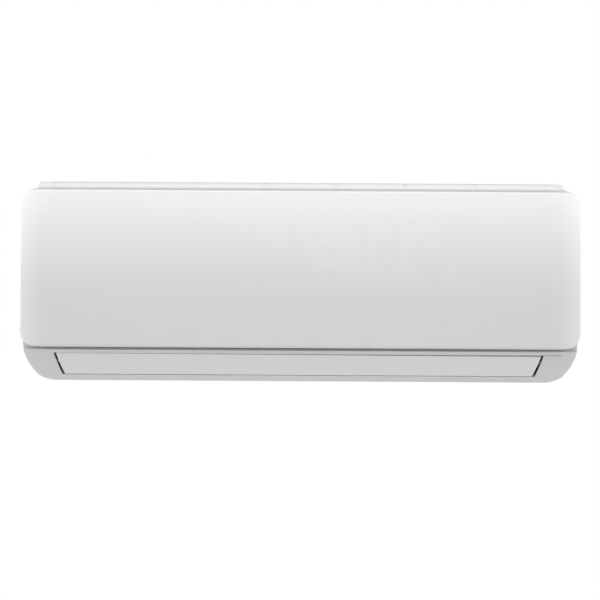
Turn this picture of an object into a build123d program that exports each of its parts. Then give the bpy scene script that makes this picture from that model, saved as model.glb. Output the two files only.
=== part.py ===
from build123d import *

import math
import os

# Wall-mounted mini split indoor unit, about 3.5 kW, as an assembly of its real pieces.
#
# Frame: millimetres, +X to the right seen from the room, +Y towards the wall, +Z up.
# The origin is on the wall, at the middle of the wall plate's screw pattern, so y = 0 is the
# wall and the unit reaches out to y = FRONT_Y. Each sub-part is written to parts/NODE.step.

# ---------------------------------------------------------------- driving dimensions
PANEL_HALF_W = 402.5  # half the width of the front panel, the widest piece
CASE_HALF_W = 399.0  # half the width of the casing behind it
TOP_Z, BOTTOM_Z = 143.0, -143.0
FRONT_Y = -194.0  # foremost line of the front panel
WALL = 2.5  # thickness of the moulded casings

STRAIGHT_X = 342.0  # the front is straight up to here, then turns back
TURN_Y = -80.0  # the ends turn about vertical axes at x = +-STRAIGHT_X, y = TURN_Y

PANEL_TOP_Z, PANEL_LOW_Z = 133.0, -92.5
PANEL_CORNER_R = 21.0
PANEL_EDGE_R = 3.0
PANEL_DEPTH = 12.0  # depth of the panel's rim, square to its face
PANEL_BEND_Z = -20.0  # plumb below this height, curved back above it
PANEL_BEND_R = 405.0
CASE_SETBACK = 14.0  # the casing's front lies this far behind the panel's face
HINGE_Y, HINGE_Z, HINGE_PIN_R = -153.5, 126.0, 2.5

CHIN_TOP = (-188.5, -96.5)  # the chin is an arc from here ...
CHIN_LOW = (-118.0, -143.0)  # ... to here, seen from the side
CHIN_RISE = 4.0  # and bulges this much from its chord
OUTLET_FROM, OUTLET_TO = 7.0, 63.5  # the air outlet, measured down the chord
OUTLET_TOP_HALF, OUTLET_LOW_HALF = 352.0, 340.5
OUTLET_SHIFT = -2.0  # the outlet lies this far off the middle, away from the drive
LOUVRE_GAP = 1.8
LOUVRE_LEFT_GAP, LOUVRE_RIGHT_GAP = 3.6, 4.3
LOUVRE_SAG = 1.2  # the closed louvre's top edge hangs this much lower at its driven end
LOUVRE_PIVOT_AT, LOUVRE_PIVOT_DEPTH = 42.0, 12.0
LOUVRE_PIN_R, LOUVRE_MID_PIN_R = 3.0, 2.5
RUNNING_GAP = 0.05  # radial clearance of a pin that turns

FAN_Y, FAN_Z, FAN_R = -80.0, -28.0, 47.0
FAN_LEFT, FAN_RIGHT = -340.0, 250.0
FAN_BLADES, FAN_SEGMENTS = 35, 9
SHAFT_R = 4.0
CHAMBER_LEFT, CHAMBER_RIGHT = -354.0, 262.0  # inner faces of the fan chamber's end walls
DUCT_END = 354.0
SCROLL_GAP, SCROLL_FROM, SCROLL_TO = 5.0, 55.0, -85.0  # fan to scroll, and its angles
TONGUE = (-131.0, -62.0)

FILTER_Y, FILTER_Z, FILTER_R = -23.0, -14.0, 150.0  # the filters slide on arcs about this line
FILTER_T = 2.8
FILTER_LOW, FILTER_HIGH = -16.0, 78.0  # degrees above the horizontal
FILTER_SPANS = {"left": (-352.4, -19.6), "right": (-16.4, 316.4)}
RAILS = ((-358.0, -350.0), (-22.0, -14.0), (314.0, 322.0))

VANE_PITCH, VANES_A_SIDE, VANE_FIRST = 52.0, 6, 57.0
VANE_Y, VANE_Z = -115.0, -88.2
VANE_LENGTH, VANE_HEIGHT, VANE_T = 28.0, 40.0, 1.6
LINK_ARM, LINK_PIN_R, LINK_GAP = 11.0, 1.5, 0.3
VANE_PIN_R = 2.0

COIL_LEFT, COIL_RIGHT, COIL_T = -351.0, 256.0, 24.0
TUBE_R, TUBE_PITCH = 3.5, 19.0

BACK_Y = -14.0  # room side of the rear casing's back wall
PLATE_HALF_W, PLATE_LOW, PLATE_HIGH, PLATE_T = 300.0, -64.0, 95.0, 1.2
SCREW_X, SCREW_Z, SCREW_HOLE_R = 230.0, 45.0, 2.75

RIB_PITCH, RIB_COUNT, RIB_FIRST = 101.0, 8, -355.0  # the grille's main ribs
FAR = 500.0  # past the whole object

X_AXIS = (1, 0, 0)


# ---------------------------------------------------------------- shape helpers
def yz_face(*edges):
    """A face in the side view: the edges run through (y, z) points."""
    outline = edges[0]
    for edge in edges[1:]:
        outline += edge
    return make_face(Plane.YZ * outline)


def yz_polygon(points):
    return make_face(Plane.YZ * Polyline(*points, close=True))


def along_x(face, low, high):
    return extrude(Pos(low, 0, 0) * face, amount=high - low, dir=X_AXIS)


def block(x0, x1, y0, y1, z0, z1):
    return Pos((x0 + x1) / 2, (y0 + y1) / 2, (z0 + z1) / 2) * Box(x1 - x0, y1 - y0, z1 - z0)


def rod(y, z, radius, low, high):
    """A round bar along X."""
    return Pos((low + high) / 2, y, z) * Rot(0, 90, 0) * Cylinder(radius, high - low)


def pipe_x(y, z, radius, hole, low, high):
    return rod(y, z, radius, low, high) - rod(y, z, hole, low - 1, high + 1)


def mirrored(shape):
    return mirror(shape, about=Plane.YZ)


def fused(shapes):
    shapes = list(shapes)
    return shapes[0].fuse(*shapes[1:]) if len(shapes) > 1 else shapes[0]


def polar(centre, radius, degrees):
    """A (y, z) point: 0 degrees is towards the wall, 90 is up."""
    turn = math.radians(degrees)
    return (centre[0] + radius * math.cos(turn), centre[1] + radius * math.sin(turn))


def swept_front(face):
    """A side-view face carried along the straight front and round both ends."""
    middle = along_x(face, -STRAIGHT_X, STRAIGHT_X)
    right_axis = Axis((STRAIGHT_X, TURN_Y, 0), (0, 0, 1))
    right = revolve(Pos(STRAIGHT_X, 0, 0) * face, axis=right_axis, revolution_arc=90)
    return middle + right + mirrored(right)


# ---------------------------------------------------------------- the front panel
def panel_y(z, setback=0.0):
    """Where the panel's face is at height z, moved square to itself by setback."""
    radius = PANEL_BEND_R - setback
    if z <= PANEL_BEND_Z:
        return FRONT_Y + setback
    return FRONT_Y + PANEL_BEND_R - math.sqrt(radius**2 - (z - PANEL_BEND_Z) ** 2)


def behind_panel(setback, low, high):
    """All that lies behind the panel's face, out to the turning axes."""
    middle = (PANEL_BEND_Z + high) / 2
    start = (panel_y(low, setback), low)
    bend = (panel_y(PANEL_BEND_Z, setback), PANEL_BEND_Z)
    end = (panel_y(high, setback), high)
    return swept_front(
        yz_face(
            Line((TURN_Y, low), start),
            Line(start, bend),
            ThreePointArc(bend, (panel_y(middle, setback), middle), end),
            Line(end, (TURN_Y, high)),
            Line((TURN_Y, high), (TURN_Y, low)),
        )
    )


def panel_outline(inset):
    width = 2 * (PANEL_HALF_W - inset)
    height = PANEL_TOP_Z - PANEL_LOW_Z - 2 * inset
    sketch = RectangleRounded(width, height, PANEL_CORNER_R - inset)
    middle = (PANEL_TOP_Z + PANEL_LOW_Z) / 2
    return extrude(Plane.XZ * Pos(0, middle) * sketch, amount=FAR)


def depth_below_face(point):
    """How far a point lies behind the panel's face in plan and side view."""
    y = point.Y
    if abs(point.X) > STRAIGHT_X:
        y = TURN_Y - math.hypot(abs(point.X) - STRAIGHT_X, point.Y - TURN_Y)
    return y - panel_y(point.Z)


def rim_edges(tray):
    """The edges round the panel's face, without the seams that cross it."""
    found = []
    for edge in tray.edges():
        points = [edge.position_at(share) for share in (0, 0.5, 1)]
        on_face = all(abs(depth_below_face(p)) < 0.01 for p in points)
        turn_seam = all(abs(abs(p.X) - STRAIGHT_X) < 0.01 for p in points)
        bend_seam = all(abs(p.Z - PANEL_BEND_Z) < 0.01 for p in points)
        if on_face and not turn_seam and not bend_seam:
            found.append(edge)
    return found


def panel_ribs():
    """The stiffening ribs inside the panel, before they are cut to its face."""
    width, reach = 1.4, 360.0
    ribs = [block(-reach, reach, -FAR, 0, z, z + width) for z in (-62.0, -22.0, 22.0, 66.0)]
    ribs += [block(x, x + width, -FAR, 0, -88.0, 96.0) for x in range(-340, 341, 85)]
    return fused(ribs)


def make_front_panel():
    low, high = PANEL_LOW_Z - 20, PANEL_TOP_Z + 20
    hollow = behind_panel(WALL, low, high) & panel_outline(WALL)
    solid = behind_panel(0, PANEL_LOW_Z, PANEL_TOP_Z) & panel_outline(0)
    tray = solid - behind_panel(PANEL_DEPTH, low, high)
    tray = fillet(rim_edges(tray), PANEL_EDGE_R)
    rib_depth = 6.0
    ribs = behind_panel(WALL - 0.4, low, high) - behind_panel(rib_depth, low, high)
    ribs &= panel_ribs() & panel_outline(WALL - 0.4)
    arm = panel_arm()
    return (tray - hollow).fuse(ribs, arm, mirrored(arm))


PANEL_ARM_X = (374.0, 377.5)  # the hinge arm's plate, on the right
PANEL_EAR_X = (366.5, 370.5)  # the casing's ear beside it


def panel_arm():
    """The right arm: a plate from the panel's inside back to a pin on the hinge axis."""
    face = yz_polygon(
        [(-180, 96), (-180, 122), (-160, 132.2), (HINGE_Y, 132.2), (HINGE_Y + 4, HINGE_Z + 1),
         (HINGE_Y + 3, HINGE_Z - 4), (HINGE_Y - 2, HINGE_Z - 12), (HINGE_Y - 5, 96)]
    )
    low, high = PANEL_LOW_Z, PANEL_TOP_Z
    inside = behind_panel(WALL - 0.4, low, high) & panel_outline(WALL - 0.4)
    arm = along_x(face, *PANEL_ARM_X) & inside
    pin = rod(HINGE_Y, HINGE_Z, HINGE_PIN_R, PANEL_EAR_X[0] - 1, PANEL_ARM_X[0])
    return arm + pin


# ---------------------------------------------------------------- the chin and the louvre
CHORD = math.dist(CHIN_TOP, CHIN_LOW)
DOWN = ((CHIN_LOW[0] - CHIN_TOP[0]) / CHORD, (CHIN_LOW[1] - CHIN_TOP[1]) / CHORD)
INWARD = (-DOWN[1], DOWN[0])  # from the chin into the unit
CHIN_R = CHORD**2 / (8 * CHIN_RISE) + CHIN_RISE / 2


def chin(along, depth=0.0):
    """The (y, z) point that lies along the chin's chord, depth inside its face."""
    half = CHORD / 2
    rise = math.sqrt(CHIN_R**2 - (along - half) ** 2) - (CHIN_R - CHIN_RISE) - depth
    return (
        CHIN_TOP[0] + along * DOWN[0] - rise * INWARD[0],
        CHIN_TOP[1] + along * DOWN[1] - rise * INWARD[1],
    )


PIVOT = chin(LOUVRE_PIVOT_AT, LOUVRE_PIVOT_DEPTH)
CHIN_PLANE = Plane(
    origin=(0, *chin(CHORD / 2)), x_dir=(1, 0, 0), z_dir=(0, -INWARD[0], -INWARD[1])
)


def outlet_prism(gap=0.0, left_gap=0.0, right_gap=0.0, sag=0.0):
    """The outlet's slanted-ended shape, square to the chin, made smaller by the gaps."""
    top = CHORD / 2 - OUTLET_FROM - gap
    low = CHORD / 2 - OUTLET_TO + gap
    left, right = OUTLET_SHIFT + left_gap, OUTLET_SHIFT - right_gap
    corners = [(left - OUTLET_LOW_HALF, low), (right + OUTLET_LOW_HALF, low),
               (right + OUTLET_TOP_HALF, top - sag), (left - OUTLET_TOP_HALF, top + sag)]
    sketch = make_face(CHIN_PLANE * Polyline(*corners, close=True))
    return extrude(sketch, amount=20, both=True)


def lug(low, high, pin_r):
    """A plate of the louvre that carries its pin, between two x places."""
    foot = 2.0
    points = [chin(LOUVRE_PIVOT_AT - 9, foot), chin(LOUVRE_PIVOT_AT + 9, foot),
              chin(LOUVRE_PIVOT_AT + 4.4, LOUVRE_PIVOT_DEPTH),
              chin(LOUVRE_PIVOT_AT - 4.4, LOUVRE_PIVOT_DEPTH)]
    return along_x(yz_polygon(points), low, high) + rod(*PIVOT, pin_r + 1.6, low, high)


LUG_X, PIN_END_X, DRIVE_END_X = (332.0, 335.5), 355.8, 366.0
MID_LUG_X = (5.0, 8.0)
DRIVE_PIN_R = 2.5  # the end that plugs into the motor


def make_louvre():
    start, end = OUTLET_FROM + LOUVRE_GAP - LOUVRE_SAG, OUTLET_TO - LOUVRE_GAP
    middle = (start + end) / 2
    edge_t, mid_t = 1.6, 4.0
    inner_top, inner_low = chin(start, edge_t), chin(end, edge_t)
    blade = yz_face(
        ThreePointArc(chin(start), chin(middle), chin(end)),
        Line(chin(end), inner_low),
        ThreePointArc(inner_low, chin(middle, mid_t), inner_top),
        Line(inner_top, chin(start)),
    )
    louvre = along_x(blade, -STRAIGHT_X - 10, STRAIGHT_X + 10)
    louvre &= outlet_prism(LOUVRE_GAP, LOUVRE_LEFT_GAP, LOUVRE_RIGHT_GAP, LOUVRE_SAG)
    pieces = [lug(*LUG_X, LOUVRE_PIN_R), rod(*PIVOT, LOUVRE_PIN_R, LUG_X[0], PIN_END_X)]
    pieces += [mirrored(piece) for piece in pieces]
    pieces.append(rod(*PIVOT, DRIVE_PIN_R, PIN_END_X, DRIVE_END_X))
    pieces += [lug(*MID_LUG_X, LOUVRE_MID_PIN_R), mirrored(lug(*MID_LUG_X, LOUVRE_MID_PIN_R))]
    pieces.append(rod(*PIVOT, LOUVRE_MID_PIN_R, -MID_LUG_X[0], MID_LUG_X[0]))
    return louvre.fuse(*pieces)


# ---------------------------------------------------------------- the front casing
def case_side(inset):
    """The casing's side view from its front to the turning axes, moved in by inset."""
    step_y, step_low, shoulder_r, shelf_z = -145.0, 112.0, 10.5, 108.0
    setback = CASE_SETBACK + inset
    round_at = (step_y + shoulder_r, TOP_Z - shoulder_r)
    radius = shoulder_r - inset
    step_top, step_foot = (step_y + inset, round_at[1]), (step_y + inset, step_low - inset)
    shelf = (panel_y(shelf_z - inset, setback), shelf_z - inset)
    bend = (panel_y(PANEL_BEND_Z, setback), PANEL_BEND_Z)
    middle = (shelf_z + PANEL_BEND_Z) / 2
    lip_z = PANEL_LOW_Z - 2.5 - inset
    lip = chin(1.8 * inset, inset)
    lip_edge = (lip[0] + 1.6, lip_z)
    rise_y, rise_z = -184.0 + inset, lip_z + 1.5
    low = chin(CHORD - 0.3 * inset, inset)
    top, foot = (TURN_Y, TOP_Z - inset), (TURN_Y, BOTTOM_Z + inset)
    return yz_face(
        Line(top, (round_at[0], top[1])),
        ThreePointArc((round_at[0], top[1]), polar(round_at, radius, 135), step_top),
        Line(step_top, step_foot),
        Line(step_foot, shelf),
        ThreePointArc(shelf, (panel_y(middle, setback), middle), bend),
        Line(bend, (bend[0], rise_z)),
        Line((bend[0], rise_z), (rise_y, rise_z)),
        Line((rise_y, rise_z), (rise_y, lip_z)),
        Line((rise_y, lip_z), lip_edge),
        Line(lip_edge, lip),
        ThreePointArc(lip, chin(CHORD / 2, inset), low),
        Line(low, foot),
        Line(foot, top),
    )


def case_outline(inset):
    """The casing's front view: round shoulders, a raised top deck and round lower corners."""
    right = [
        Line((0, TOP_Z), (376, TOP_Z)),
        Line((376, TOP_Z), (381, 135)),
        ThreePointArc((381, 135), (393.6, 127.6), (CASE_HALF_W, 113)),
        Line((CASE_HALF_W, 113), (CASE_HALF_W, -80)),
        ThreePointArc((CASE_HALF_W, -80), (392, -114), (377.5, -135.5)),
        ThreePointArc((377.5, -135.5), (366, -141), (351, BOTTOM_Z)),
        Line((351, BOTTOM_Z), (0, BOTTOM_Z)),
        Line((0, BOTTOM_Z), (0, TOP_Z)),
    ]
    outline = right[0]
    for edge in right[1:]:
        outline += edge
    half = make_face(outline)
    whole = half + mirror(half, about=Plane.YZ)
    if inset:
        whole = offset(whole, amount=-inset, kind=Kind.INTERSECTION)
    return extrude(Plane.XZ * whole, amount=FAR)


CASE_BACK_Y = -2.0


def case_solid(inset):
    back = CASE_BACK_Y if not inset else FAR
    rear = block(-FAR, FAR, TURN_Y, back, BOTTOM_Z + inset, TOP_Z - inset)
    outline = case_outline(inset)
    if inset:
        outline += Pos(0, 20, 0) * outline
    return (swept_front(case_side(inset)) + rear) & outline


WINDOW_Z = (-58.0, 103.0)
WINDOWS = ((-355.0, -25.0), (-11.0, 319.0))
GRILLE_HALF_W, GRILLE_Y = 371.0, (-126.0, -24.0)
COVER_BOX = (334.0, 388.0, 2.0, 96.0)  # the wiring cover: x, x, z, z
BEZEL_BOX = (334.0, 376.0, -62.0, -18.0)
FIT = 0.6  # gap round a fitted cover


def front_prism(x0, x1, z0, z1, radius=0.0):
    sketch = RectangleRounded(x1 - x0, z1 - z0, radius) if radius else Rectangle(x1 - x0, z1 - z0)
    face = Plane.XZ * Pos((x0 + x1) / 2, (z0 + z1) / 2) * sketch
    return Pos(0, -140, 0) * extrude(face, amount=80)


def rib_marks():
    """Shallow notches where the grille's main ribs meet the casing's front rail."""
    deck = swept_front(case_side(0.9))
    marks = []
    for k in range(RIB_COUNT):
        x = RIB_FIRST + k * RIB_PITCH
        points = [(x - 1.0, 134), (x + 1.0, 134), (x + 1.4, 139), (x + 3.2, TOP_Z + 1),
                  (x - 3.2, TOP_Z + 1), (x - 1.4, 139)]
        prism = extrude(make_face(Plane.XZ * Polyline(*points, close=True)), amount=30)
        marks.append(Pos(0, -126, 0) * prism)
    return fused(marks) - deck


def chin_seam():
    """The fine groove that runs on from the outlet's top edge, right of the louvre."""
    start, z = OUTLET_SHIFT + OUTLET_TOP_HALF + 1, chin(OUTLET_FROM)[1]
    groove = block(start, start + 25, -FAR, TURN_Y, z - 0.4, z + 0.4)
    return groove - swept_front(case_side(1.0))


def knock_out(side):
    """A thin-walled outline low on each side, cut out for a pipe that leaves sideways."""
    outer = block(330, FAR, -58, -8, -134, -84)
    inner = block(329, FAR + 1, -56.4, -9.6, -132.4, -85.6)
    ring = (outer - inner) - case_outline(1.2)
    return ring if side > 0 else mirrored(ring)


def hinge_ear():
    tip = 4.2
    foot = [(HINGE_Y - tip, HINGE_Z), (HINGE_Y + tip, HINGE_Z), (HINGE_Y + tip + 4, 107),
            (HINGE_Y + 2, 107), (HINGE_Y + 2, 110)]
    ear = along_x(yz_polygon(foot), *PANEL_EAR_X) + rod(HINGE_Y, HINGE_Z, tip, *PANEL_EAR_X)
    bore = rod(HINGE_Y, HINGE_Z, HINGE_PIN_R + RUNNING_GAP, PANEL_EAR_X[0] - 1, PANEL_EAR_X[1] + 1)
    return ear - bore


def outlet_collar():
    """Short walls from the outlet's long edges into the duct."""
    upper = yz_polygon([chin(OUTLET_FROM - 0.2, 1), chin(OUTLET_FROM - 2.2, 1), (-172.5, -92.8),
                        (-172.5, -95.6)])
    lower = yz_polygon([chin(OUTLET_TO + 0.2, 1), chin(OUTLET_TO + 2.2, 1), (-126.2, -132.6),
                        (-125.6, -130.7)])
    return [along_x(upper, -DUCT_END + 1, DUCT_END - 1), along_x(lower, -DUCT_END + 1, DUCT_END - 1)]


def make_front_frame():
    skin = case_solid(0) - case_solid(WALL)
    covers = skin & front_prism(COVER_BOX[0] + FIT, COVER_BOX[1] - FIT, COVER_BOX[2] + FIT,
                                COVER_BOX[3] - FIT, 3)
    cuts = [front_prism(*window, *WINDOW_Z, 8) for window in WINDOWS]
    cuts.append(front_prism(*COVER_BOX, 3))
    cuts.append(front_prism(*BEZEL_BOX))
    cuts.append(block(-GRILLE_HALF_W, GRILLE_HALF_W, *GRILLE_Y, 136, TOP_Z + 5))
    cuts.append(outlet_prism())
    cuts.append(block(-360, 360, -108, 5, -FAR, -137))
    cuts += [knock_out(1), knock_out(-1), rib_marks(), chin_seam()]
    frame = skin.cut(*cuts)
    ear = hinge_ear()
    return frame.fuse(ear, mirrored(ear), *outlet_collar()), covers


def make_top_grille():
    """The intake grille let into the casing's top: slots between slats, with main ribs."""
    half, (front, back) = GRILLE_HALF_W - 0.5, GRILLE_Y
    depth = back - front - 1.0
    slot_pitch_x, slot_pitch_y = RIB_PITCH / 4, 8.2
    plate = Pos(0, (front + back) / 2) * Rectangle(2 * half, depth)
    columns, rows = 28, 12
    first_x = RIB_FIRST + slot_pitch_x / 2
    first_y = (front + back) / 2 - (rows - 1) / 2 * slot_pitch_y
    slots = [
        Pos(first_x + i * slot_pitch_x, first_y + j * slot_pitch_y)
        * Rectangle(slot_pitch_x - 2.6, slot_pitch_y - 2.6)
        for i in range(columns) for j in range(rows)
    ]
    grille = extrude(Pos(0, 0, TOP_Z - 3) * (plate - slots), amount=3)
    ribs = [block(x - 1.6, x + 1.6, front + 2, back - 2, TOP_Z - 4.6, TOP_Z - 3)
            for x in (RIB_FIRST + k * RIB_PITCH for k in range(RIB_COUNT))]
    return grille.fuse(*ribs)


# ---------------------------------------------------------------- the rear casing
def scroll_radius(degrees, extra=0.0):
    """The scroll opens steadily from its top edge round to the outlet."""
    share = (SCROLL_FROM - degrees) / (SCROLL_FROM - SCROLL_TO)
    return FAN_R + SCROLL_GAP + 20.0 * share**2.2 + extra


def scroll_points(extra=0.0):
    steps = 8
    angles = [SCROLL_FROM + (SCROLL_TO - SCROLL_FROM) * k / steps for k in range(steps + 1)]
    return [polar((FAN_Y, FAN_Z), scroll_radius(a, extra), a) for a in angles]


DUCT_LOW = (-124.0, -129.7)  # where the lower duct wall ends, at the casing's collar


def duct_floor(y):
    """Height of the lower duct wall's face at y."""
    foot = scroll_points()[-1]
    share = (y - foot[0]) / (DUCT_LOW[0] - foot[0])
    return foot[1] + share * (DUCT_LOW[1] - foot[1])


def scroll_section():
    inner, outer = scroll_points(), scroll_points(WALL)
    low_outer = (DUCT_LOW[0] + 1.2, DUCT_LOW[1] - WALL)
    return yz_face(
        Spline(*inner),
        Line(inner[-1], DUCT_LOW),
        Line(DUCT_LOW, low_outer),
        Line(low_outer, outer[-1]),
        Spline(*reversed(outer)),
        Line(outer[0], inner[0]),
    )


def chamber_outline():
    """The end walls' side view: the scroll, and round the fan under the coil."""
    points = [(-50, 20)] + scroll_points(1.0)
    points += [(-122, -129.6), (-130.6, -133.2), (-172, -97.6), (-131, -64.0), (-130, -44),
               (-131, 2), (-112, 34), (-92, 44), (-70, 40)]
    return yz_polygon(points)


def duct_outline():
    """The part of the duct to the right of the fan, between its two walls."""
    points = [(-122.9, -55.6), (-73, -100.2), (-122, -129.6), (-130.6, -133.2),
              (-172, -97.6), (-131, -64.4)]
    return yz_polygon(points)


def back_wall():
    high = 138.0
    walls = [block(-396, 396, BACK_Y, BACK_Y + WALL, -60, high)]
    walls.append(block(-390, 390, BACK_Y, -1, high - WALL, high))
    for side in (-1, 1):
        low, top = sorted((side * 393.5, side * 396.0))
        walls.append(block(low, top, -42, -1, -80, 112))
        walls += [block(x, x + 2, BACK_Y + WALL, -3, -60, 130)
                  for x in (side * 330.0, side * 362.0)]
    walls += [block(-390, -306, BACK_Y + WALL, -3, z, z + 2) for z in (-20.0, 40.0, 100.0)]
    walls += [block(306, 390, BACK_Y + WALL, -3, z, z + 2) for z in (-20.0, 40.0, 100.0)]
    return walls


HOOK_X, HOOK_Z = 180.0, (82.0, 93.8)


def make_rear_chassis():
    trough = yz_polygon([(-50.6, 13.4), (BACK_Y + 1, 15.4), (BACK_Y + 1, 17.9), (-48.2, 15.9),
                         (-48.2, 23), (-50.6, 23)])
    link = yz_polygon([(BACK_Y + 1, -60), (BACK_Y + 1, -57.5), (-29.2, -59.2), (-30.2, -61.8)])
    floor_only = block(-FAR, FAR, -FAR, -48, -FAR, -82)
    left_wall = along_x(chamber_outline(), CHAMBER_LEFT - WALL, CHAMBER_LEFT)
    right_wall = along_x(chamber_outline(), CHAMBER_RIGHT, CHAMBER_RIGHT + WALL)
    duct_mouth = yz_polygon([(-200, -150), (-60, -150), (-76, -102.4), (-122.9, -59.2),
                             (-122.9, -55.6), (-124.4, -52.6), (-129.8, -44.7), (-129.8, -41),
                             (-200, -41)])
    right_wall -= along_x(duct_mouth, CHAMBER_RIGHT - 1, CHAMBER_RIGHT + WALL + 1)
    shoulder = yz_polygon([(-122.9, -55.6), (-122.9, -59.2), (-76, -102.4), (-73, -100.2)])
    parts = back_wall() + [
        along_x(scroll_section(), CHAMBER_LEFT - WALL, CHAMBER_RIGHT + WALL),
        along_x(scroll_section(), -388, CHAMBER_LEFT - WALL) & floor_only,
        along_x(scroll_section(), CHAMBER_RIGHT + WALL, 388) & floor_only,
        along_x(trough, CHAMBER_LEFT - WALL, CHAMBER_RIGHT + WALL),
        along_x(link, CHAMBER_LEFT - WALL, CHAMBER_RIGHT + WALL),
        left_wall,
        right_wall,
        along_x(duct_outline(), DUCT_END, DUCT_END + WALL),
        along_x(shoulder, CHAMBER_RIGHT, DUCT_END + WALL),
    ]
    chassis = parts[0].fuse(*parts[1:])
    cuts = [rod(FAN_Y, FAN_Z, BEARING_SEAT_R, CHAMBER_LEFT - 5, CHAMBER_LEFT + 1)]
    cuts.append(rod(FAN_Y, FAN_Z, 12, CHAMBER_RIGHT - 1, CHAMBER_RIGHT + 5))
    cuts.append(rod(*PIVOT, LOUVRE_PIN_R + RUNNING_GAP, -DUCT_END - 5, -DUCT_END + 1))
    cuts.append(rod(*PIVOT, LOUVRE_PIN_R + RUNNING_GAP, DUCT_END - 1, DUCT_END + 5))
    for side in (-1, 1):
        cuts.append(block(side * HOOK_X - 17, side * HOOK_X + 17, BACK_Y - 1, -8, *HOOK_Z))
    cuts.append(block(*CABLE_BOX))
    return chassis.cut(*cuts) & case_outline(WALL + 0.4)


BEARING_SEAT_R, BEARING_R = 12.0, 7.5
CABLE_BOX = (340.0, 364.0, BACK_Y - 6, -5.0, -52.0, -36.0)


# ---------------------------------------------------------------- the drain pan
def pan_roof(y):
    """Height of the upper duct wall's face at y."""
    low = (-172.0, -96.0)
    share = (y - low[0]) / (TONGUE[0] - low[0])
    return low[1] + share * (TONGUE[1] - 2.0 - low[1])


def make_drain_pan():
    """The trough under the front coil, whose underside is the duct's upper wall."""
    body = yz_polygon([
        (-163.5, -48), (-163.5, -60), (-168, -76), (-172, -90), (-172, -96),
        (-131, -64), (-125.5, -60), (-124, -57), (-125.5, -54), (-131, -46), (-131, -42),
        (-133.2, -42), (-134.4, -55), (-138, -58.5), (-158, -58.5), (-162, -55), (-162, -48),
    ])
    return along_x(body, -352, 352)


def make_drain_spout():
    """The bent outlet from the pan's right end, with a stop for the drain hose."""
    x, y, end_z = SPOUT_END
    route = [(352, -150, -66), (366, -150, -66), (366, -62, -69), (x, y, -71), (x, y, end_z)]
    path = FilletPolyline(*route, radius=9)
    start = Plane(origin=path @ 0, z_dir=path % 0)
    outer = sweep(start * Circle(SPOUT_R), path=path)
    inner = sweep(start * Circle(SPOUT_R - 1.5), path=path)
    flange = rod(-150, -66, 11, 352, 353.5)
    stop = Pos(x, y, end_z + SPOUT_GRIP + 1) * Cylinder(SPOUT_R + 1.6, 2)
    return outer.fuse(flange, stop) - inner


SPOUT_R, SPOUT_GRIP = 8.0, 20.0  # the drain hose pushes on as far as the stop
SPOUT_END = (345.0, -32.0, -128.0)


# ---------------------------------------------------------------- the fan and its motor
def fan_blade():
    """One long crescent blade of the cross-flow fan, at the wheel's top."""
    centre = (FAN_Y, FAN_Z)
    inner_r, outer_r = 36.0, FAN_R - 0.4
    back = [polar(centre, inner_r, 90), polar(centre, 41.6, 92.6), polar(centre, outer_r, 99)]
    front = [polar(centre, outer_r, 99.9), polar(centre, 41.4, 94.4), polar(centre, inner_r, 91)]
    return yz_face(
        ThreePointArc(*back), Line(back[-1], front[0]), ThreePointArc(*front),
        Line(front[-1], back[0]),
    )


def make_fan_wheel():
    axis = Axis((0, FAN_Y, FAN_Z), X_AXIS)
    blade = along_x(fan_blade(), FAN_LEFT, FAN_RIGHT)
    turn = 360 / FAN_BLADES
    blades = [blade.rotate(axis, k * turn) for k in range(FAN_BLADES)]
    pitch = (FAN_RIGHT - FAN_LEFT) / FAN_SEGMENTS
    rings = [pipe_x(FAN_Y, FAN_Z, FAN_R, 34.5, FAN_LEFT + k * pitch - 1, FAN_LEFT + k * pitch + 1)
             for k in range(1, FAN_SEGMENTS)]
    left = rod(FAN_Y, FAN_Z, FAN_R, FAN_LEFT, FAN_LEFT + 3)
    left += rod(FAN_Y, FAN_Z, 10, FAN_LEFT, FAN_LEFT + 14)
    left -= rod(FAN_Y, FAN_Z, SHAFT_R, FAN_LEFT - 1, FAN_LEFT + 12)
    right = rod(FAN_Y, FAN_Z, FAN_R, FAN_RIGHT - 3, FAN_RIGHT)
    right += rod(FAN_Y, FAN_Z, 13, FAN_RIGHT - 26, FAN_RIGHT)
    right -= rod(FAN_Y, FAN_Z, SHAFT_R, FAN_RIGHT - 22, FAN_RIGHT + 1)
    return blades[0].fuse(*blades[1:], *rings, left, right)


def make_fan_shaft():
    return rod(FAN_Y, FAN_Z, SHAFT_R, FAN_LEFT - 22, FAN_LEFT + 12)


def make_motor_shaft():
    return rod(FAN_Y, FAN_Z, SHAFT_R, FAN_RIGHT - 22, MOTOR_X[1] - 20)


def make_fan_bearing():
    low, high = FAN_LEFT - 20, FAN_LEFT - 8
    return pipe_x(FAN_Y, FAN_Z, BEARING_R, SHAFT_R + RUNNING_GAP, low, high)


def make_bearing_mount():
    """The rubber ring that holds the bearing in the left end wall."""
    body = pipe_x(FAN_Y, FAN_Z, BEARING_SEAT_R, BEARING_R, FAN_LEFT - 18, FAN_LEFT - 10)
    flange = pipe_x(FAN_Y, FAN_Z, 16, BEARING_R, FAN_LEFT - 20, CHAMBER_LEFT - WALL)
    return body + flange


MOTOR_X = (270.0, 328.0)
MOTOR_R = 41.0


def make_fan_motor():
    low, high = MOTOR_X
    can = rod(FAN_Y, FAN_Z, MOTOR_R, low + 6, high - 6)
    can = fillet(can.edges().filter_by(GeomType.CIRCLE), 4)
    can += rod(FAN_Y, FAN_Z, 14, low, high)
    can += rod(FAN_Y, FAN_Z, MOTOR_R + 2, (low + high) / 2 - 3, (low + high) / 2 + 3)
    return can - rod(FAN_Y, FAN_Z, SHAFT_R + RUNNING_GAP, low - 1, high - 18)


def motor_ring(low, high):
    return pipe_x(FAN_Y, FAN_Z, 18, 14, low, high)


def make_motor_mounts():
    low, high = MOTOR_X
    return [motor_ring(low, low + 5), motor_ring(high - 5, high)]


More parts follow.
